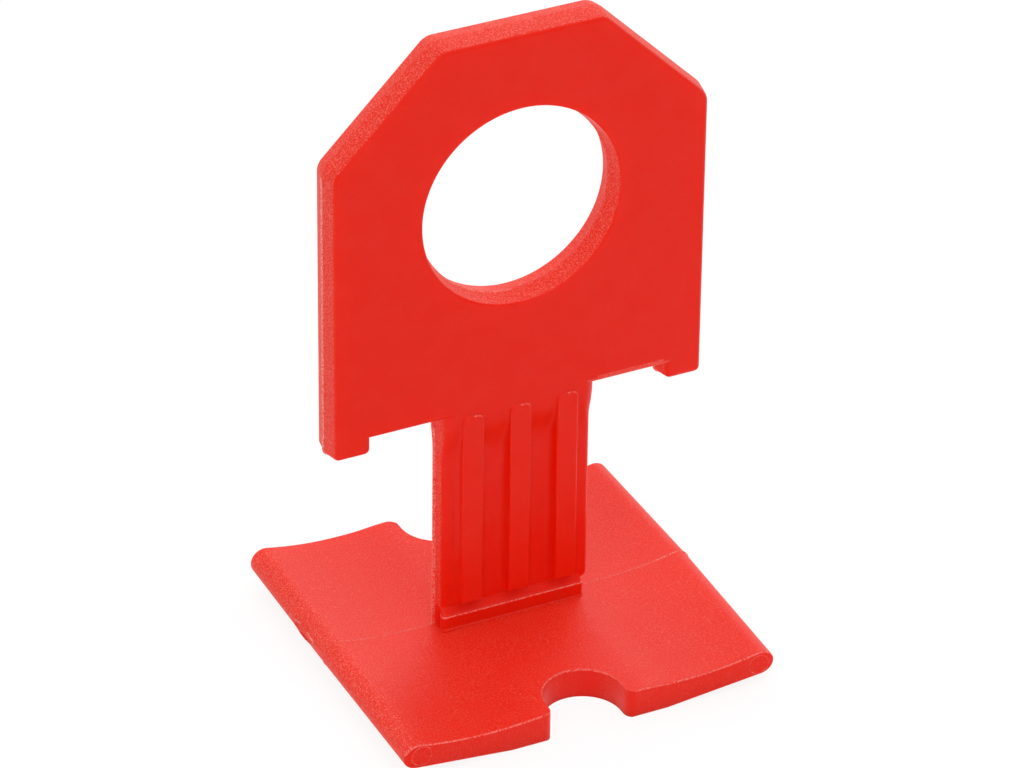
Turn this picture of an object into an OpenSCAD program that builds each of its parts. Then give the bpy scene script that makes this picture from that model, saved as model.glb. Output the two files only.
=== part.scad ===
// Tile levelling clip, moulded in one piece.
// A base plate lies under two neighbouring tiles, a thin neck stands in the joint between them,
// and the head above the tiles has a round hole that a wedge is driven through.
// Front is -Y, the joint runs along X, and the origin is the middle of the underside.

/* [Base] */
// Width across the round side edges
base_w = 31.1; // [27:0.1:38]
// Depth from the front edge to the back edge
base_d = 28.2; // [24:0.1:38]
// Thickness in the middle, under the neck
base_t = 2.7; // [2.3:0.1:4]
// Height of the raised side rims above the middle
rim_h = 0.5; // [0.3:0.05:0.8]
// Depth of the shallow troughs beside the neck
trough_h = 0.2; // [0.1:0.05:0.4]
// Distance of each trough's lowest line from the middle
trough_x = 8.2; // [7.6:0.1:9.6]
// Radius of the troughs' round bottoms
trough_r = 22; // [15:0.5:24]
// Width of the flat strip that the clip stands on
sole_w = 13; // [9:0.5:18]
// Height of the underside at the side edges
sole_rise = 0.9; // [0.4:0.05:1.1]
// Radius of the half-round notches in the front and back edges
notch_r = 3.1; // [2.4:0.1:4]
// Distance of each notch's centre from its edge
notch_in = 1.3; // [0.9:0.1:2]
// Radius of the round lips at the notch mouths
notch_lip = 0.8; // [0.4:0.1:0.9]
// Draft of the base, from the parting plane to the front and back edges
base_draft = 0.6; // [0.3:0.1:2]

/* [Neck] */
// Width of the neck
neck_w = 12.5; // [10:0.1:14]
// Thickness of the neck, which sets the width of the joint
neck_t = 1.5; // [1:0.1:2]
// Clear height between the base and the head
gap_h = 18.9; // [15:0.1:26]
// Height of the S-curve where the neck swells into the head
swell_h = 4.4; // [2.5:0.1:5]
// Width of one stiffening rib
rib_w = 1.7; // [1.2:0.1:2.2]
// Spacing of the three ribs
rib_pitch = 3.9; // [3:0.1:4]
// Height of the ribs' lower ends above the base
rib_low = 2; // [1.9:0.1:5]
// Distance of the ribs' upper ends below the head
rib_end = 0.05; // [0.05:0.05:0.5]
// How far the ribs' fronts stand out from the head's faces
rib_proud = 0.1; // [0.02:0.01:0.2]
// Radius of the ribs' upper corners
rib_corner = 0.45; // [0.2:0.05:0.55]
// Width of the foot under the neck
foot_w = 12; // [10:0.1:13]
// Thickness of the foot
foot_t = 2.6; // [2.3:0.1:3.4]
// Height of the foot's front and back edges
foot_h = 1.1; // [0.6:0.05:1.2]
// Height at which the foot's slopes meet the neck
foot_top = 1.75; // [1.4:0.05:1.85]
// Height of the break line, where the neck is narrowest
break_h = 1.3; // [1.25:0.05:1.6]
// Depth of the V-groove at each end of the break line
break_in = 0.4; // [0.2:0.05:0.8]
// Slope of the break groove's flanks
break_a = 40; // [30:1:45]

/* [Head] */
// Width of the head
head_w = 30.8; // [27:0.1:36]
// Height of the head above the clear gap
head_h = 31.6; // [29:0.1:36]
// Thickness of the head
head_t = 2.9; // [2.4:0.1:3.6]
// Size of the 45 degree corners at the top
corner = 8.7; // [5:0.1:9]
// Width of the two legs that stand on the tiles
leg_w = 3.4; // [2.4:0.1:4.5]
// Height of the legs below the head's lower edge
leg_h = 1.4; // [1.2:0.1:3]
// Radius of the legs' outer corners
leg_outer_r = 0.5; // [0.4:0.1:1.1]
// Radius of the legs' inner corners
leg_inner_r = 0.5; // [0.3:0.1:0.9]
// Diameter of the wedge hole
hole_d = 15.8; // [12:0.1:18]
// Height of the hole's centre above the head's lower edge
hole_h = 17; // [15.5:0.1:18.5]
// Width of the bevel round each rim of the hole
hole_bevel = 0.22; // [0.1:0.02:0.4]
// Draft of the head's edges, from the parting plane to each face
head_draft = 9.7; // [4:0.1:12]
// Place of the mould's parting plane behind the middle of the head
parting_y = 0.2; // [0:0.05:0.4]

/* [Hidden] */
// Extra length that carries a cutter past a face
past = 1;
// Depth by which the foot and the neck are sunk into the base
sunk = 0.6;
// Steps in each half of the S-curve
swell_steps = 8;
rim_z = base_t + rim_h;
edge_r = (rim_z - sole_rise) / 2;
edge_x = base_w / 2 - edge_r;
edge_z = sole_rise + edge_r;
gap_z = base_t + gap_h;
top_z = gap_z + head_h;
hole_z = gap_z + hole_h;
rib_y = head_t / 2 + rib_proud;
rib_top = gap_z - rib_end;
swell = (head_t - neck_t) / 2;
// Radius of the two equal arcs of the S-curve
swell_r = (swell_h * swell_h + swell * swell) / (4 * swell);
// Steps in each round corner of a leg
corner_steps = 4;
// Walls are listed as a direction and a distance from the centre of the hole
plate_walls = [
    [0, head_w / 2],
    [45, (head_w / 2 + top_z - corner - hole_z) / sqrt(2)],
    [90, top_z - hole_z],
    [135, (head_w / 2 + top_z - corner - hole_z) / sqrt(2)],
    [180, head_w / 2],
    [270, hole_h]
];
leg_walls = concat(
    [[0, head_w / 2], [90, past - hole_h], [180, leg_w - head_w / 2], [270, hole_h + leg_h]],
    corner_walls(head_w / 2 - leg_outer_r, leg_outer_r, 270),
    corner_walls(head_w / 2 - leg_w + leg_inner_r, leg_inner_r, 180)
);

// Walls that round a lower corner of the leg, all touching a circle of radius r centred at x
function corner_walls(x, r, start) = [
    for (i = [1:corner_steps - 1]) let (a = start + 90 * i / corner_steps)
        [a, x * cos(a) + (r - hole_h - leg_h) * sin(a) + r]
];

// Cross-section of the base: flat sole, troughs, raised rims and full-round side edges
module base_section() {
    difference() {
        polygon([
            [-edge_x, sole_rise], [-sole_w / 2, 0], [sole_w / 2, 0], [edge_x, sole_rise],
            [edge_x, rim_z], [trough_x, rim_z], [trough_x, base_t],
            [-trough_x, base_t], [-trough_x, rim_z], [-edge_x, rim_z]
        ]);
        for (side = [-1, 1])
            translate([side * trough_x, base_t - trough_h + trough_r])
                circle(trough_r, $fn = 160);
    }
    for (side = [-1, 1])
        translate([side * edge_x, edge_z])
            circle(edge_r, $fn = 24);
}

// One half of the base, getting thinner and narrower away from the parting plane
module base_half(reach) {
    lost = reach * tan(base_draft);
    rotate([90, 0, 0])
        linear_extrude(height = reach, scale = [1 - 2 * lost / base_w, 1 - lost / base_t])
            base_section();
}

// Plan of the front notch, with a round lip on each side of the mouth
module notch_plan() {
    translate([0, notch_in - base_d / 2])
        circle(notch_r, $fn = 64);
    translate([-notch_r, -base_d / 2 - past])
        square([2 * notch_r, notch_in + past]);
    difference() {
        translate([-notch_r - notch_lip, -base_d / 2 - past])
            square([2 * (notch_r + notch_lip), notch_lip + past]);
        for (side = [-1, 1])
            translate([side * (notch_r + notch_lip), notch_lip - base_d / 2])
                circle(notch_lip, $fn = 32);
    }
}

module base() {
    difference() {
        translate([0, parting_y, 0]) {
            base_half(base_d / 2 + parting_y);
            mirror([0, 1, 0])
                base_half(base_d / 2 - parting_y);
        }
        for (turn = [0, 180])
            rotate([0, 0, turn])
                translate([0, 0, -past])
                    linear_extrude(rim_z + 2 * past)
                        notch_plan();
    }
}

// Foot that carries the neck, with a sloping top up to the break line
module foot() {
    rotate([90, 0, 90])
        linear_extrude(foot_w, center = true)
            polygon([
                [-foot_t / 2, base_t - sunk], [foot_t / 2, base_t - sunk],
                [foot_t / 2, base_t + foot_h], [neck_t / 2, base_t + foot_top],
                [-neck_t / 2, base_t + foot_top], [-foot_t / 2, base_t + foot_h]
            ]);
}

// Half thickness and height along the S-curve, first the hollow arc and then the full one
function swell_arc() = let (turn = asin(swell_h / 2 / swell_r)) concat(
    [for (i = [0:swell_steps]) let (a = turn * i / swell_steps)
        [neck_t / 2 + swell_r * (1 - cos(a)), gap_z - swell_h + swell_r * sin(a)]],
    [for (i = [1:swell_steps]) let (a = turn * (1 - i / swell_steps))
        [head_t / 2 - swell_r * (1 - cos(a)), gap_z - swell_r * sin(a)]]
);

// Thin web that swells into the head on both faces
module web() {
    rear = concat([[neck_t / 2, base_t - sunk]], swell_arc(), [[head_t / 2, gap_z + past]]);
    front = [for (i = [len(rear) - 1:-1:0]) [-rear[i][0], rear[i][1]]];
    rotate([90, 0, 90])
        linear_extrude(neck_w, center = true)
            polygon(concat(rear, front));
}

// Stiffening rib on the front face, which stops square above the foot so that the neck breaks there
module rib() {
    rotate([90, 0, 0])
        linear_extrude(rib_y)
            hull() {
                translate([-rib_w / 2, base_t + rib_low])
                    square([rib_w, rib_corner]);
                for (side = [-1, 1])
                    translate([side * (rib_w / 2 - rib_corner), rib_top - rib_corner])
                        circle(rib_corner, $fn = 32);
            }
}

// V-groove that makes the neck narrowest at the break line
module break_groove() {
    rotate([90, 0, 0])
        linear_extrude(foot_t + 2 * past, center = true)
            polygon([
                [neck_w / 2 - break_in, base_t + break_h],
                [neck_w / 2 + past, base_t + break_h - (break_in + past) * tan(break_a)],
                [neck_w / 2 + past, base_t + break_h + (break_in + past) * tan(break_a)]
            ]);
}

module neck() {
    difference() {
        union() {
            foot();
            web();
        }
        break_groove();
        mirror([1, 0, 0])
            break_groove();
    }
    for (i = [-1:1], turn = [0, 180])
        rotate([0, 0, turn])
            translate([i * rib_pitch, 0, 0])
                rib();
}

// Slab of the head's thickness on the inner side of one wall, which leans in both ways
// from the parting plane
module inside_wall(wall) {
    reach = head_w + head_h;
    rotate([0, -wall[0], 0])
        linear_extrude(2 * reach, center = true)
            polygon([
                [-reach, -head_t / 2],
                [wall[1] - (head_t / 2 + parting_y) * tan(head_draft), -head_t / 2],
                [wall[1], parting_y],
                [wall[1] - (head_t / 2 - parting_y) * tan(head_draft), head_t / 2],
                [-reach, head_t / 2]
            ]);
}

// Right-hand leg, sunk into the plate
module leg() {
    intersection_for(wall = leg_walls)
        inside_wall(wall);
}

// Round hole for the wedge, with a bevel at each rim
module wedge_hole() {
    depth = hole_bevel / tan(2 * head_draft);
    translate([0, 0, hole_z])
        rotate([90, 0, 0]) {
            cylinder(d = hole_d, h = head_t + 2 * past, center = true, $fn = 96);
            for (face = [0, 180])
                rotate([face, 0, 0])
                    translate([0, 0, head_t / 2 - depth])
                        cylinder(d1 = hole_d, d2 = hole_d + 4 * hole_bevel, h = 2 * depth, $fn = 96);
        }
}

module head() {
    difference() {
        translate([0, 0, hole_z]) {
            intersection_for(wall = plate_walls)
                inside_wall(wall);
            leg();
            mirror([1, 0, 0])
                leg();
        }
        wedge_hole();
    }
}

// The whole clip, a single moulding
module levelling_clip() {
    color("#df3029") {
        base();
        neck();
        head();
    }
}

levelling_clip();
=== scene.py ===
"""Tile levelling clip in red polypropylene, modelled in millimetres and scaled to metres at the end."""

import math

import bpy
from mathutils import Matrix, Vector


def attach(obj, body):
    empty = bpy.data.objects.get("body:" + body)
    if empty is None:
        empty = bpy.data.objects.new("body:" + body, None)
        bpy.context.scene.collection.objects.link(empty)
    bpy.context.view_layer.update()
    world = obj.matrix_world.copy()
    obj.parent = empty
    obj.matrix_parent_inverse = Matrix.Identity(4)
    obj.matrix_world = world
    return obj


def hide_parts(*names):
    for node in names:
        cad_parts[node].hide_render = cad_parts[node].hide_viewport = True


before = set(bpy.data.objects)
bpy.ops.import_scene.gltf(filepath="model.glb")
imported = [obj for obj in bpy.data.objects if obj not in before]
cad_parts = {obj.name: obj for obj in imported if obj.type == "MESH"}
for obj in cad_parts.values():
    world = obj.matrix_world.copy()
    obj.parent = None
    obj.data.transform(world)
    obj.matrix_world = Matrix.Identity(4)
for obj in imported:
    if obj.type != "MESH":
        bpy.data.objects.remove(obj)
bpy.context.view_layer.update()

# Sizes in millimetres; the main ones are those of the part's source
MM = 0.001
# Smallest step that counts as a difference of place
TINY = 0.001
# Place of the mould's parting plane, a little behind the middle
PARTING = 0.2

# Base: raised rims, troughs, a flat sole, full-round side edges and a notch in each end
BASE_W, BASE_D, BASE_T = 31.1, 28.2, 2.7
RIM_H, TROUGH_H, TROUGH_FROM, TROUGH_X = 0.5, 0.2, 4, 8.2
SOLE_W, EDGE_R = 13.0, 1.15
NOTCH_R, NOTCH_DEEP, NOTCH_LIP = 3.1, 4.4, 0.8
# Mean distance of a notch's rim from the parting plane
NOTCH_RUN = 11.8
# Draft of the base's sides and of its top, in its front and its back half
SIDE_DRAFT = {-1: math.radians(0.4), 1: math.radians(0.7)}
TOP_DRAFT = {-1: math.radians(1.2), 1: 0.0}
# Height in the base from which the neck and the foot rise
ROOT_Z = BASE_T - 0.6

# Neck: a thin web that swells into the head below the gap's height
NECK_W, NECK_T, NECK_EDGE, NECK_EDGE_GROWS = 12.86, 1.5, 0.3, 0.5
GAP_Z, SWELL_H = 21.6, 4.4
# Flare of the neck's sides under the head: how far out, and where it starts and ends below the gap's height
NECK_FLARE, FLARE_LOW, FLARE_TOP = 0.18, 3.2, 0.2
# How far the neck's top stands out of the head's face, too little to be seen
NECK_PROUD = 0.004
# Ribs on the neck: spacing, half width, small round, hollow fillet, ends, height and round top corners
RIB_PITCH, RIB_HALF, RIB_EDGE, RIB_FLANK = 3.9, 0.85, 0.1, 0.6
RIB_LOW, RIB_TOP, RIB_Y, RIB_TURN = 4.95, 21.55, 1.64, 0.5
RIB_SIDE = RIB_PITCH + RIB_HALF

# Foot under the neck, with a sharp lip and a slope above it
FOOT_LEFT, FOOT_RIGHT, FOOT_T, FOOT_H, FOOT_SLOPE = -6.2, 5.65, 2.6, 1.1, 0.65
FOOT_CORNER, FOOT_FILLET = 0.3, 0.12
LIP_Z = BASE_T + FOOT_H
# Height of the break line, where it ends at the right, and the rise of its cut's upper flank
BREAK_H, BREAK_X, BREAK_RISE = 1.25, 5.62, 0.6

# Head: cut corners, two short legs and the wedge hole, drafted both ways
HEAD_W, HEAD_T, HEAD_LOW, TOP_Z, CORNER = 30.9, 2.9, 21.5, 53.12, 8.75
HEAD_DRAFT = math.radians(9.7)
LEG_W, LEG_H = 3.46, 1.35
LEG_X = HEAD_W / 2 - LEG_W
# Height at which the corners' chamfers begin, and how far the left and the right one are cut in
CUT_Z, CHAMFER_IN = TOP_Z - CORNER, {-1: 0.0, 1: 0.06}
LEG_ROUND, CHAMFER_ROUND = 0.66, 0.6
HOLE_WIDE, HOLE_HIGH, HOLE_Z, HOLE_FLARE = 7.78, 7.94, 38.6, 0.15
# Height of the coarser strip along the head's lower edge at the right
STRIP_H = 0.8

# Fine ridge that the mould's two halves leave along the parting plane
RIDGE_H, RIDGE_W = 0.06, 0.09
HEAD_RIDGE_H, HEAD_RIDGE_W, HOLE_RIDGE_W = 0.1, 0.15, 0.12
NECK_RIDGE_H, NECK_RIDGE_W = {-1: 0.18, 1: 0.1}, 0.12
# Roundings of the rims at the front and the back: of the head, of its hole, and of the base's ends
HEAD_RIM, HOLE_LIP, END_RIM = {-1: 0.3, 1: 0.12}, {-1: 0.2, 1: 0.06}, {-1: 0.16, 1: 0.07}
# Marks of the mould: ejector pins on the base's front end, pits in the head's face, and the gate's scar
PIN_R, PIN_BEAD, PIN_PROUD, PINS = 0.8, 0.06, 0.03, ((-13.95, 1.8), (14.12, 1.72))
SPECK_R, SPECK_OUT, SPECKS = 0.14, 0.06, ((-13.65, 43.07), (13.09, 35.79))
SCAR_Y, SCAR_Z, SCAR_LONG, SCAR_HIGH, SCAR_R = 3.75, 2.15, 1.65, 0.4, 0.09

# Reds of the moulding: smooth; grained, made paler as painted sheen; a painted glint on a raised grain; and
# torn flash, also used for painted highlights on the ribs and the pins' rings
RED_SMOOTH, RED_GRAINED_SHEEN, RED_PAINTED_GLINT, RED_TORN_AND_GLINT = "#f01d02", "#f02b17", "#ff8270", "#ffb4a8"
# Sizes of its patterns: spark-eroded pits, flow marks, and the shreds of torn flash and painted highlights
PIT_SIZE, FLOW_SIZE, SHRED_SIZE = 0.12, 2.0, 0.16

# Studio in metres and watts: side of the floor and how far it lies below the clip, and the lamps' aim
FLOOR_W, FLOOR_DROP = 3, 0.00002
AIM = (0, 0, 0.025)
# Each lamp's name, place, side and power
LAMPS = (
    ("key_softbox", (-0.4, -0.5, 0.65), 0.6, 1.35),
    ("top_softbox", (0.1, -0.25, 0.95), 0.6, 2.3),
    ("left_softbox", (-0.5, 0.8, 0.55), 1.0, 1.6),
    ("back_softbox", (0.5, 0.85, 0.65), 1.0, 2.8),
    ("side_softbox", (0.75, 0.5, 0.4), 0.6, 1.2),
    ("fill_softbox", (0, -0.9, 0.2), 0.6, 1.25),
)


def let_go():
    """Leave edit mode with nothing selected."""
    if bpy.context.mode != "OBJECT":
        bpy.ops.object.mode_set(mode="OBJECT")
    bpy.ops.object.select_all(action="DESELECT")


def take(piece):
    """Make a piece the only one selected."""
    let_go()
    piece.select_set(True)
    bpy.context.view_layer.objects.active = piece


def begin(name, add, **place):
    """Add a primitive with nothing else selected, and put its place into its mesh."""
    let_go()
    add(**place)
    piece = bpy.context.active_object
    piece.name = piece.data.name = name
    bpy.ops.object.transform_apply(location=True, rotation=True, scale=True)
    return piece


def pick(piece, kind, test):
    """Go into edit mode with only the points, edges or faces selected that pass the test."""
    take(piece)
    bpy.ops.object.mode_set(mode="EDIT")
    bpy.ops.mesh.select_mode(type=kind)
    bpy.ops.mesh.select_all(action="DESELECT")
    bpy.ops.object.mode_set(mode="OBJECT")
    mesh = piece.data
    points = mesh.vertices
    if kind == "VERT":
        for point in points:
            point.select = test(point.co)
    elif kind == "EDGE":
        for edge in mesh.edges:
            edge.select = test(points[edge.vertices[0]].co, points[edge.vertices[1]].co)
    else:
        for face in mesh.polygons:
            face.select = test(face.center, face.normal)
    bpy.ops.object.mode_set(mode="EDIT")


def place_points(piece, places):
    """Move every point of a mesh to the place given for it."""
    take(piece)
    piece.data.vertices.foreach_set("co", [value for place in places for value in place])
    piece.data.update()


def mend(piece):
    """Merge points that meet and turn all faces outwards."""
    take(piece)
    bpy.ops.object.mode_set(mode="EDIT")
    bpy.ops.mesh.select_all(action="SELECT")
    bpy.ops.mesh.remove_doubles(threshold=TINY)
    bpy.ops.mesh.normals_make_consistent(inside=False)
    bpy.ops.object.mode_set(mode="OBJECT")


def finish_with(piece, kind, **settings):
    """Add a modifier with its settings and apply it."""
    take(piece)
    modifier = piece.modifiers.new(kind.title(), kind)
    for name, value in settings.items():
        setattr(modifier, name, value)
    bpy.ops.object.modifier_apply(modifier=modifier.name)


def combine(piece, tool, operation):
    """Join a second solid to a piece, or cut it out of the piece."""
    finish_with(piece, "BOOLEAN", operation=operation, solver="EXACT", object=tool)
    bpy.data.objects.remove(tool)


def round_rims(piece, reach, radii):
    """Round the rims in a piece's front and back end planes, each with its own radius."""
    for way, radius in radii.items():
        pick(piece, "EDGE", lambda a, b: min(way * a.y, way * b.y) > reach - TINY)
        bpy.ops.mesh.bevel(offset=radius, segments=4, affect="EDGES", clamp_overlap=False)
        bpy.ops.object.mode_set(mode="OBJECT")


def ease(low, high, value):
    """Smooth step from 0 at low to 1 at high."""
    t = min(max((value - low) / (high - low), 0.0), 1.0)
    return t * t * (3 - 2 * t)


def quarter_turn(steps):
    """Angles of a quarter turn in equal steps."""
    return [math.pi / 2 * i / steps for i in range(steps + 1)]


def base_outline():
    """Cross-section of the base: sole, full-round edges, raised rims and troughs."""
    top_steps, edge_steps, sole_steps = 30, 20, 4
    rise = RIM_H + TROUGH_H
    lip_x = BASE_W / 2 - RIDGE_H - EDGE_R
    run = lip_x - TROUGH_X
    lean = math.atan(2 * rise / run)
    start_x = lip_x - EDGE_R * math.sin(lean)

    def top_at(x):
        dip = TROUGH_H * ease(TROUGH_FROM, TROUGH_X - 1, x)
        return BASE_T - dip + rise * (max(x - TROUGH_X, 0) / run) ** 2

    centre_z = top_at(start_x) - EDGE_R * math.cos(lean)
    sole_lean = math.atan((centre_z - EDGE_R) / (lip_x - SOLE_W / 2))
    first, last = math.pi / 2 + lean, sole_lean - math.pi / 2
    turns = [first + (last - first) * i / edge_steps for i in range(edge_steps + 1)]
    top = [(start_x * i / top_steps, top_at(start_x * i / top_steps)) for i in range(top_steps)]
    edge = [(lip_x + EDGE_R * math.cos(a), centre_z + EDGE_R * math.sin(a)) for a in turns]
    sole = [(SOLE_W / 2 * i / sole_steps, 0.0) for i in range(sole_steps, -1, -1)]
    right = top + edge + sole
    left = [(-x, z) for x, z in reversed(right[1:-1])]
    return right + left


def make_base():
    """Base plate: a section lofted both ways from the parting plane, with a notch in each end."""
    outline = base_outline()
    base = begin("base", bpy.ops.mesh.primitive_circle_add, vertices=len(outline), radius=1)
    swell_x, swell_z = 1 + RIDGE_H / (BASE_W / 2), 1 + RIDGE_H / BASE_T
    place_points(base, [(x * swell_x, PARTING, z * swell_z) for x, z in outline])
    for way in (-1, 1):
        reach = BASE_D / 2 - way * PARTING
        end_x = 1 - 2 * reach * math.tan(SIDE_DRAFT[way]) / BASE_W
        end_z = 1 - reach * math.tan(TOP_DRAFT[way]) / BASE_T
        pick(base, "VERT", lambda p: abs(p.y - PARTING) < TINY)
        bpy.ops.mesh.select_mode(type="EDGE")
        for step, wide, high in ((RIDGE_W, 1 / swell_x, 1 / swell_z), (reach - RIDGE_W, end_x, end_z)):
            bpy.ops.mesh.extrude_region_move(TRANSFORM_OT_translate={"value": (0, way * step, 0)})
            bpy.ops.transform.resize(value=(wide, 1, high), center_override=(0, 0, 0))
        bpy.ops.mesh.edge_face_add()
    mend(base)
    round_rims(base, BASE_D / 2, END_RIM)
    for way in (-1, 1):
        combine(base, notch_tool(way), "DIFFERENCE")
    for x, z in PINS:
        pin = begin("pin_mark", bpy.ops.mesh.primitive_torus_add, major_segments=64, minor_segments=8,
                    major_radius=PIN_R, minor_radius=PIN_BEAD, rotation=(math.pi / 2, 0, 0),
                    location=(x, -BASE_D / 2 + PIN_BEAD - PIN_PROUD, z))
        combine(base, pin, "UNION")
    scar = begin("gate_scar", bpy.ops.mesh.primitive_torus_add, major_segments=48, minor_segments=10,
                 major_radius=SCAR_LONG, minor_radius=SCAR_R, rotation=(0, math.pi / 2, 0))
    flat = SCAR_HIGH / SCAR_LONG
    edge_x = BASE_W / 2 - SCAR_R
    scar.data.transform(Matrix.Translation((-edge_x, SCAR_Y, SCAR_Z)) @ Matrix.Diagonal((1, 1, flat, 1)))
    combine(base, scar, "UNION")
    return base


def notch_tool(way):
    """Solid that cuts the notch: a round-ended slot with a flared mouth."""
    edge_y = -BASE_D / 2
    wide, deep, low, tall = 12.0, 3.0, -1, 6
    inner = NOTCH_R + TINY
    place = (0, edge_y - deep / 2, low)
    tool = begin("notch_tool", bpy.ops.mesh.primitive_plane_add, size=1, location=place)
    middle = Matrix.Translation(place)
    tool.data.transform(middle @ Matrix.Diagonal((wide, deep, 1, 1)) @ middle.inverted())
    bpy.ops.object.mode_set(mode="EDIT")
    for x in (-NOTCH_R, NOTCH_R):
        bpy.ops.mesh.select_all(action="SELECT")
        bpy.ops.mesh.bisect(plane_co=(x, 0, 0), plane_no=(1, 0, 0))
    pick(tool, "EDGE", lambda a, b: min(a.y, b.y) > edge_y - TINY and max(abs(a.x), abs(b.x)) < inner)
    bpy.ops.mesh.extrude_region_move(TRANSFORM_OT_translate={"value": (0, NOTCH_DEEP, 0)})
    bpy.ops.mesh.select_all(action="SELECT")
    bpy.ops.mesh.dissolve_limited(angle_limit=math.radians(1))
    pick(tool, "VERT", lambda p: p.y > edge_y + TINY)
    bpy.ops.mesh.bevel(offset=NOTCH_R - TINY, segments=16, affect="VERTICES")
    pick(tool, "VERT", lambda p: abs(p.y - edge_y) < TINY and abs(p.x) < inner)
    bpy.ops.mesh.bevel(offset=NOTCH_LIP, segments=6, affect="VERTICES")
    bpy.ops.mesh.select_all(action="SELECT")
    bpy.ops.mesh.extrude_region_move(TRANSFORM_OT_translate={"value": (0, 0, tall)})
    mend(tool)
    # The rim of the notch is round, so the tool flares where it leaves the base's top
    top = BASE_T - NOTCH_RUN * math.tan(TOP_DRAFT[way])
    r = END_RIM[way]
    rings = [(top - r * (1 - math.sin(a)), r * (1 - math.cos(a))) for a in quarter_turn(4)]
    pick(tool, "VERT", lambda p: True)
    for z, _ in rings:
        bpy.ops.mesh.select_all(action="SELECT")
        bpy.ops.mesh.bisect(plane_co=(0, 0, z), plane_no=(0, 0, 1))
    for z, flare in rings[1:]:
        pick(tool, "VERT", lambda p: abs(p.z - z) < TINY)
        bpy.ops.transform.shrink_fatten(value=flare)
    mouth = 1.2
    pick(tool, "VERT", lambda p: p.z > low + tall - TINY)
    bpy.ops.transform.resize(value=(mouth, mouth, 1), center_override=(0, edge_y, 0))
    bpy.ops.object.mode_set(mode="OBJECT")
    if way > 0:
        tool.data.transform(Matrix.Rotation(math.pi, 4, "Z"))
    return tool


def web_depth(z):
    """Half thickness of the neck's web, swelling in an S-curve to the head's face."""
    t = min(max((z - GAP_Z + SWELL_H) / SWELL_H, 0.0), 1.0)
    curve = 2 * t * t if t < 0.5 else 1 - 2 * (1 - t) ** 2
    return NECK_T / 2 + (HEAD_T - NECK_T + 2 * NECK_PROUD) / 2 * curve


def rib_share(out, height):
    """Height of a rib's side at a distance outside its edge: a small round, then a hollow fillet."""
    edge = min(RIB_EDGE, height)
    if out < -edge:
        return height
    if out < 0:
        return height - edge + math.sqrt(edge * edge - (out + edge) ** 2)
    t = min(out / (RIB_FLANK * height), 1.0)
    return (height - edge) * (1 - math.sqrt(1 - (1 - t) ** 2))


def relief(x, z):
    """Half thickness of the neck at one place on its face."""
    web = web_depth(z)
    lift = 0.0
    for i in (-1, 0, 1):
        across = abs(x - i * RIB_PITCH) - RIB_HALF
        if z < RIB_TOP - RIB_TURN:
            out = max(across, RIB_LOW - z)
        else:
            # The rib's top has round corners
            beyond = math.hypot(max(across + RIB_TURN, 0.0), z - RIB_TOP + RIB_TURN)
            within = min(max(across, z - RIB_TOP) + RIB_TURN, 0.0)
            out = beyond + within - RIB_TURN
        lift = max(lift, rib_share(out, RIB_Y - web))
    return web + lift


def edge_round(z):
    """Radius of the neck's long edges, which grows where the neck swells into the head."""
    return NECK_EDGE + NECK_EDGE_GROWS * ease(GAP_Z - SWELL_H, GAP_Z, z)


def neck_half(side, y, z):
    """Half width of the neck at its left or right, drawn in by the draft and flared under the head."""
    flare = NECK_FLARE * ease(GAP_Z - FLARE_LOW, GAP_Z - FLARE_TOP, z)
    return NECK_W / 2 - NECK_RIDGE_H[side] - abs(y - PARTING) * math.tan(HEAD_DRAFT) + flare


def neck_face(name, way, flat, turns, rows):
    """One face of the neck, as a grid whose outer columns turn round the edges."""
    columns = [(-1, 0.0, a) for a in reversed(turns)]
    columns += [(0, x, 0.0) for x in flat]
    columns += [(1, 0.0, a) for a in turns]
    face = begin(name, bpy.ops.mesh.primitive_grid_add, size=1,
                 x_subdivisions=len(columns) - 1, y_subdivisions=len(rows) - 1)
    # Columns outside the ribs are spread over the room that is left up to the edge
    inner, outer = RIB_SIDE + 0.1, RIB_SIDE + 1.0
    places = []
    for z in rows:
        r = edge_round(z)
        for side, x, turn in columns:
            if abs(x) > inner:
                end = neck_half(-1 if x < 0 else 1, way * web_depth(z), z) - r
                room = (end - inner) / (outer - inner)
                x = math.copysign(inner + (abs(x) - inner) * room, x)
            y = way * relief(x, z)
            if side:
                y = way * (web_depth(z) - r * (1 - math.cos(turn)))
                x = side * (neck_half(side, y, z) - r + r * math.sin(turn))
            places.append((x, y, z))
    place_points(face, places)
    return face


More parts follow.
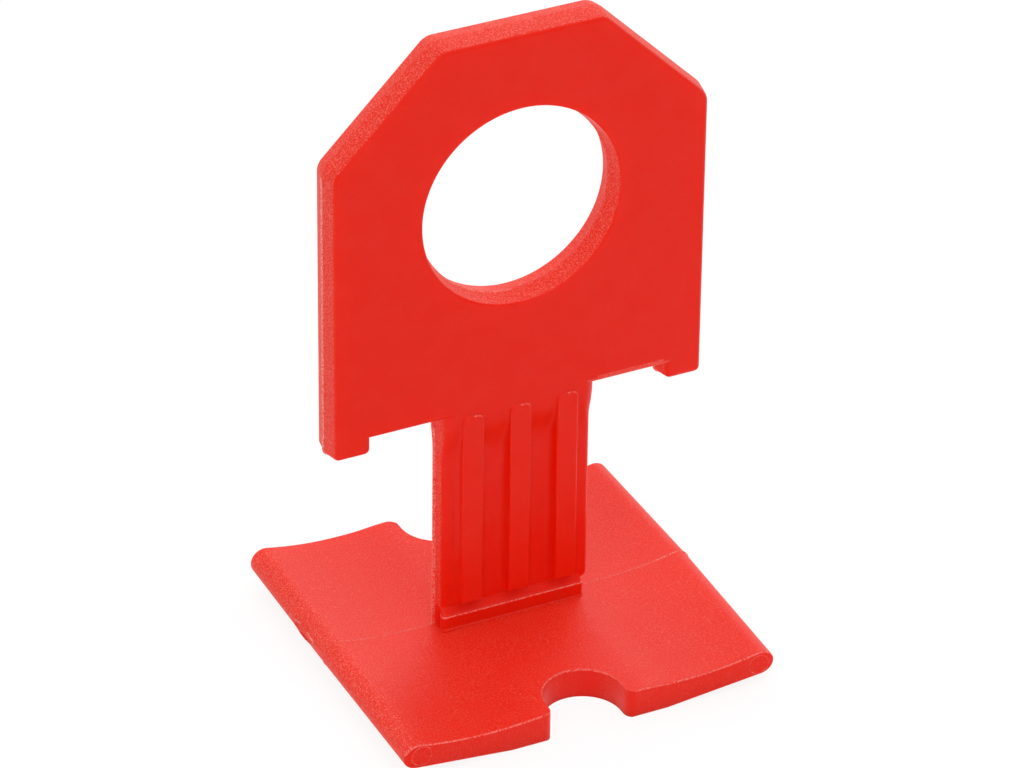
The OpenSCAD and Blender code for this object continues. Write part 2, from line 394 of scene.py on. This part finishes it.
def make_neck():
    """Neck: front and back faces bridged along their borders, with a ridge at the parting plane."""
    # Columns stand close where a rib's small round and its hollow fillet bend most
    edges = (-0.5, -0.42, -0.34, -0.27, -0.21, -0.16, -0.12, -0.09, -0.065, -0.045, -0.025, -0.01, 0,
             0.004, 0.012, 0.025, 0.045, 0.07, 0.1, 0.14, 0.19, 0.25, 0.33, 0.42, 0.52, 0.65, 0.8)
    steps = [0] + [RIB_HALF + out for out in edges]
    places = {round(i * RIB_PITCH + way * step, 3) for i in (-1, 0, 1) for way in (-1, 1) for step in steps}
    flat = sorted(places)
    turns = quarter_turn(8)
    # Rows up to each height, about a step apart: close where the ribs begin and end
    rows = [ROOT_Z]
    parts = ((RIB_LOW - 0.6, 0.5), (RIB_LOW + 0.1, 0.03), (GAP_Z - SWELL_H, 0.5), (GAP_Z - 1, 0.15),
             (GAP_Z + 0.1, 0.025), (GAP_Z + 1.3, 0.2))
    for top, step in parts:
        count = round((top - rows[-1]) / step)
        rows += [rows[-1] + (top - rows[-1]) * i / count for i in range(1, count + 1)]
    neck = neck_face("neck", -1, flat, turns, rows)
    back = neck_face("neck_back", 1, flat, turns, rows)
    take(neck)
    back.select_set(True)
    bpy.ops.object.join()
    bpy.ops.object.mode_set(mode="EDIT")
    bpy.ops.mesh.select_mode(type="EDGE")
    bpy.ops.mesh.select_all(action="DESELECT")
    bpy.ops.mesh.select_non_manifold()
    bpy.ops.mesh.bridge_edge_loops(number_cuts=3, interpolation="LINEAR")
    bpy.ops.object.mode_set(mode="OBJECT")
    # The bridge's three cuts become the ridge and the shallow grooves beside it
    groove = 0.03
    for point in neck.data.vertices:
        x, y, z = point.co
        across = y / (web_depth(z) - edge_round(z))
        if abs(across) < 0.6 and rows[0] < z < rows[-1]:
            way = round(2 * across)
            y = PARTING + way * NECK_RIDGE_W
            side = -1 if x < 0 else 1
            proud = -groove if way else NECK_RIDGE_H[side]
            point.co = (side * (neck_half(side, y, z) + proud), y, z)
    mend(neck)
    return neck


def foot_ring(deep, out):
    """Closed plan of the foot at one height, with round corners; its back half is shorter at the left."""
    corners = ((FOOT_RIGHT, 1, -1), (FOOT_LEFT, -1, -1), (-FOOT_RIGHT, -1, 1), (FOOT_RIGHT, 1, 1))
    r = FOOT_CORNER
    ring = []
    for x, side, way in corners:
        middle_x = x + side * (min(out, 0) - r)
        middle_y = way * (deep + out - r)
        turns = quarter_turn(5)
        if side == way:
            turns.reverse()
        ring += [(middle_x + side * r * math.cos(a), middle_y + way * r * math.sin(a)) for a in turns]
    return ring + ring[:1]


def make_foot():
    """Foot under the neck: fillet on the base, upright sides, sharp lip and slope up to the break line."""
    half = FOOT_T / 2
    f = FOOT_FILLET
    # Each level is a height, the half depth there, and how far the plan stands out
    turns = (1.35, 1.0, 0.65, 0.3, 0)
    drawn = -0.05
    levels = [(ROOT_Z, half, f)]
    levels += [(BASE_T + f - f * math.sin(a), half, f - f * math.cos(a)) for a in turns]
    levels += [(LIP_Z - 0.07, half, 0), (LIP_Z - 0.02, half, -0.015), (LIP_Z + 0.03, half, drawn)]
    levels += [(LIP_Z + 0.16, half - 0.12, drawn), (LIP_Z + FOOT_SLOPE, NECK_T / 2, drawn)]
    rings = [(z, foot_ring(deep, out)) for z, deep, out in levels]
    foot = begin("foot", bpy.ops.mesh.primitive_grid_add, size=1,
                 x_subdivisions=len(rings[0][1]) - 1, y_subdivisions=len(rings) - 1)
    place_points(foot, [(x, y, z) for z, ring in rings for x, y in ring])
    mend(foot)
    pick(foot, "EDGE", lambda a, b: False)
    bpy.ops.mesh.select_non_manifold()
    bpy.ops.mesh.fill_holes(sides=0)
    mend(foot)
    return foot


def break_tool():
    """Solid that cuts the neck's right end off below the break line, with a rising upper flank."""
    wide, deep = 2.0, 6
    low, high = BASE_T - 1, BASE_T + BREAK_H
    tool = begin("break_tool", bpy.ops.mesh.primitive_cube_add, size=1, scale=(wide, deep, high - low),
                 location=(BREAK_X + wide / 2, 0, (high + low) / 2))
    pick(tool, "VERT", lambda p: p.z > high - TINY and p.x > BREAK_X + TINY)
    bpy.ops.transform.translate(value=(0, 0, wide * BREAK_RISE))
    bpy.ops.object.mode_set(mode="OBJECT")
    return tool


def make_head():
    """Head: one outline drawn in from the parting plane to both faces, with the wedge hole cut through."""
    head = begin("head", bpy.ops.mesh.primitive_plane_add, size=1, rotation=(math.pi / 2, 0, 0))
    head.data.transform(Matrix.Translation((0, PARTING, (HEAD_LOW + TOP_Z) / 2))
                        @ Matrix.Diagonal((HEAD_W - 2 * HEAD_RIDGE_H, 1, TOP_Z - HEAD_LOW, 1)))
    bpy.ops.object.mode_set(mode="EDIT")
    for x in (-LEG_X, LEG_X):
        bpy.ops.mesh.select_all(action="SELECT")
        bpy.ops.mesh.bisect(plane_co=(x, 0, 0), plane_no=(1, 0, 0))
    pick(head, "EDGE", lambda a, b: max(a.z, b.z) < HEAD_LOW + TINY and abs(a.x + b.x) / 2 > LEG_X)
    bpy.ops.mesh.extrude_region_move(TRANSFORM_OT_translate={"value": (0, 0, -LEG_H)})
    for side in (-1, 1):
        cut_x = side * (HEAD_W / 2 - CHAMFER_IN[side])
        bpy.ops.mesh.select_all(action="SELECT")
        bpy.ops.mesh.bisect(plane_co=(cut_x, 0, CUT_Z), plane_no=(side, 0, 1), clear_outer=True)
    bpy.ops.mesh.select_all(action="SELECT")
    bpy.ops.mesh.dissolve_limited(angle_limit=math.radians(1))
    pick(head, "VERT", lambda p: p.z < HEAD_LOW - TINY)
    bpy.ops.mesh.bevel(offset=LEG_ROUND, segments=6, affect="VERTICES")
    pick(head, "VERT", lambda p: p.z > CUT_Z - 0.5)
    bpy.ops.mesh.bevel(offset=CHAMFER_ROUND, segments=6, affect="VERTICES")
    # The flat outline is drawn out to the front face, closed behind, and drawn out to the back face
    for way in (-1, 1):
        deep = HEAD_T / 2 - way * PARTING
        if way < 0:
            pick(head, "FACE", lambda c, n: True)
        else:
            bpy.ops.mesh.select_all(action="DESELECT")
            bpy.ops.mesh.select_mode(type="EDGE")
            bpy.ops.mesh.select_non_manifold()
            bpy.ops.mesh.edge_face_add()
            mend(head)
            pick(head, "FACE", lambda c, n: n.y > 0.99)
        bpy.ops.mesh.inset(thickness=deep * math.tan(HEAD_DRAFT), depth=deep)
    mend(head)
    pick(head, "EDGE", lambda a, b: abs(a.y - PARTING) + abs(b.y - PARTING) < TINY)
    bpy.ops.mesh.bevel(offset=HEAD_RIDGE_W, segments=2, affect="EDGES")
    pick(head, "VERT", lambda p: abs(p.y - PARTING) < RIDGE_W / 4 and p.z < CUT_Z - 0.6)
    bpy.ops.transform.shrink_fatten(value=HEAD_RIDGE_H)
    mend(head)
    round_rims(head, HEAD_T / 2, HEAD_RIM)
    # Cuts in the front face bound the coarser strip
    pick(head, "FACE", lambda c, n: n.y < -0.99)
    bpy.ops.mesh.bisect(plane_co=(0, 0, HEAD_LOW + STRIP_H), plane_no=(0, 0, 1))
    for x in (NECK_W / 2, LEG_X):
        pick(head, "FACE", lambda c, n: n.y < -0.99 and c.z < HEAD_LOW + STRIP_H)
        bpy.ops.mesh.bisect(plane_co=(x, 0, 0), plane_no=(1, 0, 0))
    combine(head, hole_tool(), "DIFFERENCE")
    for x, z in SPECKS:
        pit = begin("speck_tool", bpy.ops.mesh.primitive_uv_sphere_add, segments=16, ring_count=10,
                    radius=SPECK_R, location=(x, -HEAD_T / 2 - SPECK_OUT, z))
        combine(head, pit, "DIFFERENCE")
    return head


def hole_radius(y):
    """Radius of the wedge hole at one depth: a fine ridge at the parting plane, a flare and a round lip."""
    out = abs(y - PARTING)
    ridge = RIDGE_H * max(1 - out / HOLE_RIDGE_W, 0.0)
    r = HOLE_LIP[-1 if y < 0 else 1]
    lip = min(max(abs(y) - HEAD_T / 2 + r, 0.0), r)
    return HOLE_HIGH - ridge + HOLE_FLARE * out + r - math.sqrt(r ** 2 - lip ** 2)


def hole_tool():
    """Solid that cuts the wedge hole: narrowest at the parting plane, and flared to both faces."""
    deep = 6.0
    tool = begin("hole_tool", bpy.ops.mesh.primitive_cylinder_add, vertices=160, radius=HOLE_HIGH,
                 depth=deep, location=(0, PARTING, HOLE_Z), rotation=(math.pi / 2, 0, 0))
    turns = quarter_turn(6)
    levels = [PARTING - HOLE_RIDGE_W, PARTING, PARTING + HOLE_RIDGE_W]
    levels += [way * (HEAD_T / 2 - r * (1 - math.sin(a))) for way, r in HOLE_LIP.items() for a in turns]
    pick(tool, "VERT", lambda p: True)
    for y in levels:
        bpy.ops.mesh.select_all(action="SELECT")
        bpy.ops.mesh.bisect(plane_co=(0, y, 0), plane_no=(0, 1, 0))
    bpy.ops.object.mode_set(mode="OBJECT")
    places = []
    for point in tool.data.vertices:
        x, y, z = point.co
        share = hole_radius(y) / HOLE_HIGH
        places.append((x * share * HOLE_WIDE / HOLE_HIGH, y, HOLE_Z + (z - HOLE_Z) * share))
    place_points(tool, places)
    mend(tool)
    return tool


def make_clip():
    """The whole moulding as one closed mesh."""
    clip = make_neck()
    combine(clip, break_tool(), "DIFFERENCE")
    for part in (make_foot(), make_base(), make_head()):
        combine(clip, part, "UNION")
    clip.name = clip.data.name = "clip_moulding"
    mend(clip)
    clip.data.transform(Matrix.Scale(MM, 4))
    take(clip)
    bpy.ops.object.shade_smooth_by_angle(angle=math.radians(32))
    finish_with(clip, "WEIGHTED_NORMAL", keep_sharp=True, weight=80)
    return clip


def linear(code):
    """Linear colour of an sRGB hex value."""
    parts = [int(code[i:i + 2], 16) / 255 for i in (1, 3, 5)]
    return [c / 12.92 if c <= 0.04045 else ((c + 0.055) / 1.055) ** 2.4 for c in parts] + [1.0]


def node(tree, kind, links=None, **settings):
    """Add a shader node with its settings, its input values and its links."""
    made = tree.nodes.new(kind)
    for name, value in settings.items():
        setattr(made, name, value)
    for socket, value in (links or {}).items():
        if isinstance(value, bpy.types.NodeSocket):
            tree.links.new(value, made.inputs[socket])
        else:
            made.inputs[socket].default_value = value
    return made


def polypropylene():
    """Red polypropylene, moulded: soft and slightly translucent, with a spark-eroded grain on its edges,
    which painted sheen and painted glints make paler, and painted highlights among the torn flash.
    """
    material = bpy.data.materials.new("red_polypropylene_moulded")
    material.use_nodes = True
    tree = material.node_tree
    shader = tree.nodes["Principled BSDF"]
    place = node(tree, "ShaderNodeTexCoord").outputs["Object"]
    grain_sheen_share = node(tree, "ShaderNodeAttribute", attribute_name="grain_and_sheen").outputs["Fac"]
    flash_glint_share = node(tree, "ShaderNodeAttribute", attribute_name="flash_and_glints").outputs["Fac"]
    pits = node(tree, "ShaderNodeTexNoise",
                {"Vector": place, "Scale": 1 / (PIT_SIZE * MM), "Detail": 2.0}).outputs["Fac"]
    flow = node(tree, "ShaderNodeTexNoise",
                {"Vector": place, "Scale": 1 / (FLOW_SIZE * MM), "Detail": 3.0}).outputs["Fac"]
    shred_noise = node(tree, "ShaderNodeTexNoise", {"Vector": place, "Scale": 1 / (SHRED_SIZE * MM),
                                              "Detail": 3.0, "Roughness": 0.7}).outputs["Fac"]
    skin = node(tree, "ShaderNodeMapRange", {"Value": flow, "From Min": 0.35, "From Max": 0.65,
                                             "To Min": 0.0, "To Max": 0.12}).outputs[0]
    rough_skin_and_sheen = node(tree, "ShaderNodeMath", {0: grain_sheen_share, 1: skin}, operation="ADD").outputs[0]
    # A Mix node's sockets 0, 6 and 7 are its factor and two colours, and its output 2 is the mixed colour
    # The grained red is paler than the smooth one: painted sheen on the grain
    sheened_red = node(tree, "ShaderNodeMix", {0: rough_skin_and_sheen, 6: linear(RED_SMOOTH), 7: linear(RED_GRAINED_SHEEN)},
                data_type="RGBA").outputs[2]
    # Pale specks on raised grains are painted glints, which give the grained edges their sparkle
    painted_glints = node(tree, "ShaderNodeMapRange", {"Value": pits, "From Min": 0.46, "From Max": 0.68,
                                               "To Min": 0.0, "To Max": 0.5}).outputs[0]
    painted_glint_share = node(tree, "ShaderNodeMath", {0: painted_glints, 1: rough_skin_and_sheen}, operation="MULTIPLY").outputs[0]
    with_painted_glints = node(tree, "ShaderNodeMix", {0: painted_glint_share, 6: sheened_red, 7: linear(RED_PAINTED_GLINT)},
                    data_type="RGBA").outputs[2]
    # Torn flash is whitened in shreds; the same pale shreds paint the highlights on the ribs and the pins'
    # rings
    shred_share = node(tree, "ShaderNodeMapRange", {"Value": shred_noise, "From Min": 0.4, "From Max": 0.6,
                                             "To Min": 0.05, "To Max": 0.9}).outputs[0]
    flash_and_glints = node(tree, "ShaderNodeMath", {0: shred_share, 1: flash_glint_share}, operation="MULTIPLY").outputs[0]
    colour = node(tree, "ShaderNodeMix", {0: flash_and_glints, 6: with_painted_glints, 7: linear(RED_TORN_AND_GLINT)},
                  data_type="RGBA").outputs[2]
    rough = node(tree, "ShaderNodeMapRange", {"Value": rough_skin_and_sheen, "From Min": 0.0, "From Max": 1.0,
                                              "To Min": 0.36, "To Max": 0.52}).outputs[0]
    depth = node(tree, "ShaderNodeMath", {0: pits, 1: rough_skin_and_sheen}, operation="MULTIPLY").outputs[0]
    bump = node(tree, "ShaderNodeBump",
                {"Height": depth, "Strength": 0.5, "Distance": 0.05 * MM}).outputs[0]
    tree.links.new(colour, shader.inputs["Base Color"])
    tree.links.new(rough, shader.inputs["Roughness"])
    tree.links.new(bump, shader.inputs["Normal"])
    shader.inputs["IOR"].default_value = 1.49
    shader.inputs["Specular IOR Level"].default_value = 0.22
    shader.inputs["Subsurface Weight"].default_value = 0.7
    shader.inputs["Subsurface Radius"].default_value = (1.0, 0.1, 0.05)
    shader.inputs["Subsurface Scale"].default_value = 1.2 * MM
    return material


def mark_skin(clip):
    """Write on every face how deeply it is grained, which also sets its painted sheen and glints, and its
    share of flash line of the mould or of painted highlight.
    """
    mesh = clip.data
    grain_and_sheen = mesh.attributes.new("grain_and_sheen", "FLOAT", "FACE")
    flash_and_glints = mesh.attributes.new("flash_and_glints", "FLOAT", "FACE")
    for face in mesh.polygons:
        place = face.center / MM
        grain_and_sheen.data[face.index].value = grain_and_sheen_at(place, face.normal)
        flash_and_glints.data[face.index].value = flash_and_glint_at(place, face.normal)


def on_foot(place):
    """Whether a place lies within the foot's plan."""
    return abs(place.x) < 0.1 - FOOT_LEFT and abs(place.y) < FOOT_T / 2 + 0.2


def on_strip(place, n):
    """Whether a place lies on the coarser strip along the head's lower edge at the right."""
    x, y, z = place
    return y < 0 and n.z < 0.1 and HEAD_LOW < z < HEAD_LOW + STRIP_H and NECK_W / 2 < x < LEG_X


def grain_and_sheen_at(place, n):
    """Depth of the spark-eroded grain, which also sets the painted sheen and glints in the colour: full on
    drafted edges, less on the base, none on faces and rims.
    """
    x, _, z = place
    if on_foot(place) and BASE_T + 0.03 < z < LIP_Z + FOOT_SLOPE:
        return 0.0
    if abs(x) < RIB_SIDE + 0.4 and BASE_T + BREAK_H < z < GAP_Z + 1:
        return 0.0
    if on_strip(place, n):
        return 0.8
    if n.z < -0.5:
        return 0.0
    # Drafted walls get a little more than full grain, for more painted sheen
    grain_sheen_share = 1.15 * (1 - ease(0.45, 0.7, abs(n.y)))
    if z > BASE_T + 1:
        return grain_sheen_share
    # The base's ends are almost smooth, and its top is finer than its round left edge
    if abs(n.y) > 0.95:
        return 0.2
    return grain_sheen_share * (0.42 + 0.65 * ease(-13, -15, x))


def flash_and_glint_at(place, n):
    """Share of pale colour: torn, whitened plastic on the parting line, the lip, the base's edge and the
    gate's scar, and painted highlights on the pins' rings and the ribs.
    """
    x, y, z = place
    front = -BASE_D / 2
    # Parting line: strongest at the neck's top and on the head's left wall, faint on the rest of the head
    if abs(y - PARTING) < HEAD_RIDGE_W and 0.1 < abs(n.y) < 0.95:
        if z < BASE_T + 0.6:
            return 0.8 if x > 12.9 else 0.4
        if z < GAP_Z - 2:
            return 0.7
        if z < GAP_Z or z < CUT_Z and x < -HEAD_W / 2 + 0.4:
            return 0.95
        return 0.6 if x < 0 and z < HOLE_Z else 0.15
    # The foot's lip, and a trace at the start of its slope
    if on_foot(place) and LIP_Z - 0.075 < z < LIP_Z + FOOT_SLOPE and n.z > 0.1:
        if z < LIP_Z + 0.05:
            return 0.7
        return 0.05 if z < LIP_Z + 0.17 else 0.0
    # The gate's scar
    if x < -BASE_W / 2 + 0.3 and abs(y - SCAR_Y) < SCAR_LONG + 0.1 and abs(n.y) > 0.1:
        return 0.8
    # Painted highlight on the upper left of the ejector pins' rings, the side that faces the light
    on_pin = any(math.hypot(x - pin_x, z - pin_z) < PIN_R + 0.1 for pin_x, pin_z in PINS)
    if on_pin and y < front + 0.005 and 0.1 < n.z - n.x:
        return 0.3
    if on_strip(place, n):
        return 0.2
    # The base's front edge and the front notch's rim
    on_notch = abs(x) < NOTCH_R + 0.5 and y < front + NOTCH_DEEP + 0.2
    if 0.25 < n.z < 0.92 and (y < front + 0.2 or on_notch):
        return 0.65
    # Painted highlights: two glints on each rib's top, and a thin line along its right edge that fades out
    # lower down
    if y < 0 and abs(x) < RIB_SIDE + 0.2 and RIB_LOW < z < RIB_TOP + 0.1:
        across = (x + 1.5 * RIB_PITCH) % RIB_PITCH - RIB_PITCH / 2
        if z > RIB_TOP - 0.25 and n.z > 0.15:
            painted_glint = abs(y) > RIB_Y - 0.07 and min(abs(across - 0.05), abs(across - 0.6)) < 0.18
            return 0.6 if painted_glint else 0.0
        if n.x > 0.35 and abs(y) > RIB_Y - 0.12:
            return 0.18 * ease(8, 14, z)
    return 0.0


def floor_material():
    """Pale studio paper: seen white, and darkened only by the clip's soft shadow."""
    material = bpy.data.materials.new("white_studio_paper")
    material.use_nodes = True
    tree = material.node_tree
    tree.nodes.clear()
    paper = node(tree, "ShaderNodeBsdfDiffuse", {"Color": linear("#ffffff")})
    glow = node(tree, "ShaderNodeEmission", {"Color": (1, 1, 1, 1), "Strength": 1.02})
    path = node(tree, "ShaderNodeLightPath").outputs
    looked = node(tree, "ShaderNodeMath", {0: path["Is Camera Ray"], 1: path["Is Glossy Ray"]},
                  operation="MAXIMUM")
    through = node(tree, "ShaderNodeMath", {0: looked.outputs[0], 1: path["Is Transmission Ray"]},
                   operation="MAXIMUM")
    # The rest is the paper itself, which keeps the shadow
    glow_share = 0.86
    seen = node(tree, "ShaderNodeMath", {0: through.outputs[0], 1: glow_share}, operation="MULTIPLY")
    mix = node(tree, "ShaderNodeMixShader", {0: seen.outputs[0], 1: paper.outputs[0], 2: glow.outputs[0]})
    node(tree, "ShaderNodeOutputMaterial", {0: mix.outputs[0]})
    return material


def add_light(name, place, size, power):
    """Soft square lamp aimed at the clip."""
    data = bpy.data.lights.new(name, "AREA")
    data.shape = "SQUARE"
    data.size = size
    data.energy = power
    lamp = bpy.data.objects.new(name, data)
    turn = (Vector(AIM) - Vector(place)).to_track_quat("-Z", "Y")
    lamp.matrix_world = Matrix.Translation(place) @ turn.to_matrix().to_4x4()
    bpy.context.scene.collection.objects.link(lamp)


def set_stage():
    """Floor, soft lights and pale surroundings."""
    floor = begin("floor", bpy.ops.mesh.primitive_plane_add, size=FLOOR_W, location=(0, 0, -FLOOR_DROP))
    floor.data.materials.append(floor_material())
    world = bpy.data.worlds.new("studio")
    world.use_nodes = True
    tree = world.node_tree
    # The room is lit behind the clip and dim on the camera's side, so rims that face the front stay dark
    sight = node(tree, "ShaderNodeSeparateXYZ", {0: node(tree, "ShaderNodeTexCoord").outputs["Generated"]})
    level = node(tree, "ShaderNodeMapRange", {"Value": sight.outputs["Y"], "From Min": -0.7,
                                              "From Max": 0.3, "To Min": 0.2, "To Max": 0.66})
    background = tree.nodes["Background"]
    background.inputs["Color"].default_value = (1, 1, 1, 1)
    tree.links.new(level.outputs[0], background.inputs["Strength"])
    bpy.context.scene.world = world
    for name, place, size, power in LAMPS:
        add_light(name, place, size, power)


def set_camera():
    """Camera at the photograph's place: a long lens looking down on the clip from the front left."""
    azimuth, elevation, roll = math.radians(-26.2247), math.radians(32.3638), math.radians(0.6884)
    distance = 452.63 * MM
    target = Vector((0.094, 0.154, 22.325)) * MM
    focal_pixels, picture_pixels, sensor = 6074.9, 1024, 36
    level = math.cos(elevation)
    back = Vector((math.sin(azimuth) * level, -math.cos(azimuth) * level, math.sin(elevation)))
    right = Vector((math.cos(azimuth), math.sin(azimuth), 0))
    up = back.cross(right)
    turned_right = math.cos(roll) * right + math.sin(roll) * up
    turned_up = math.cos(roll) * up - math.sin(roll) * right
    data = bpy.data.cameras.new("camera")
    data.sensor_width = sensor
    data.lens = focal_pixels / picture_pixels * sensor
    camera = bpy.data.objects.new("camera", data)
    turn = Matrix((turned_right, turned_up, back)).transposed().to_4x4()
    camera.matrix_world = Matrix.Translation(target + back * distance) @ turn
    bpy.context.scene.collection.objects.link(camera)
    bpy.context.scene.camera = camera


clip = make_clip()
clip.data.materials.clear()
clip.data.materials.append(polypropylene())
mark_skin(clip)
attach(clip, "root")
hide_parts("levelling_clip")
set_stage()
set_camera()
bpy.context.scene.view_settings.view_transform = "Standard"
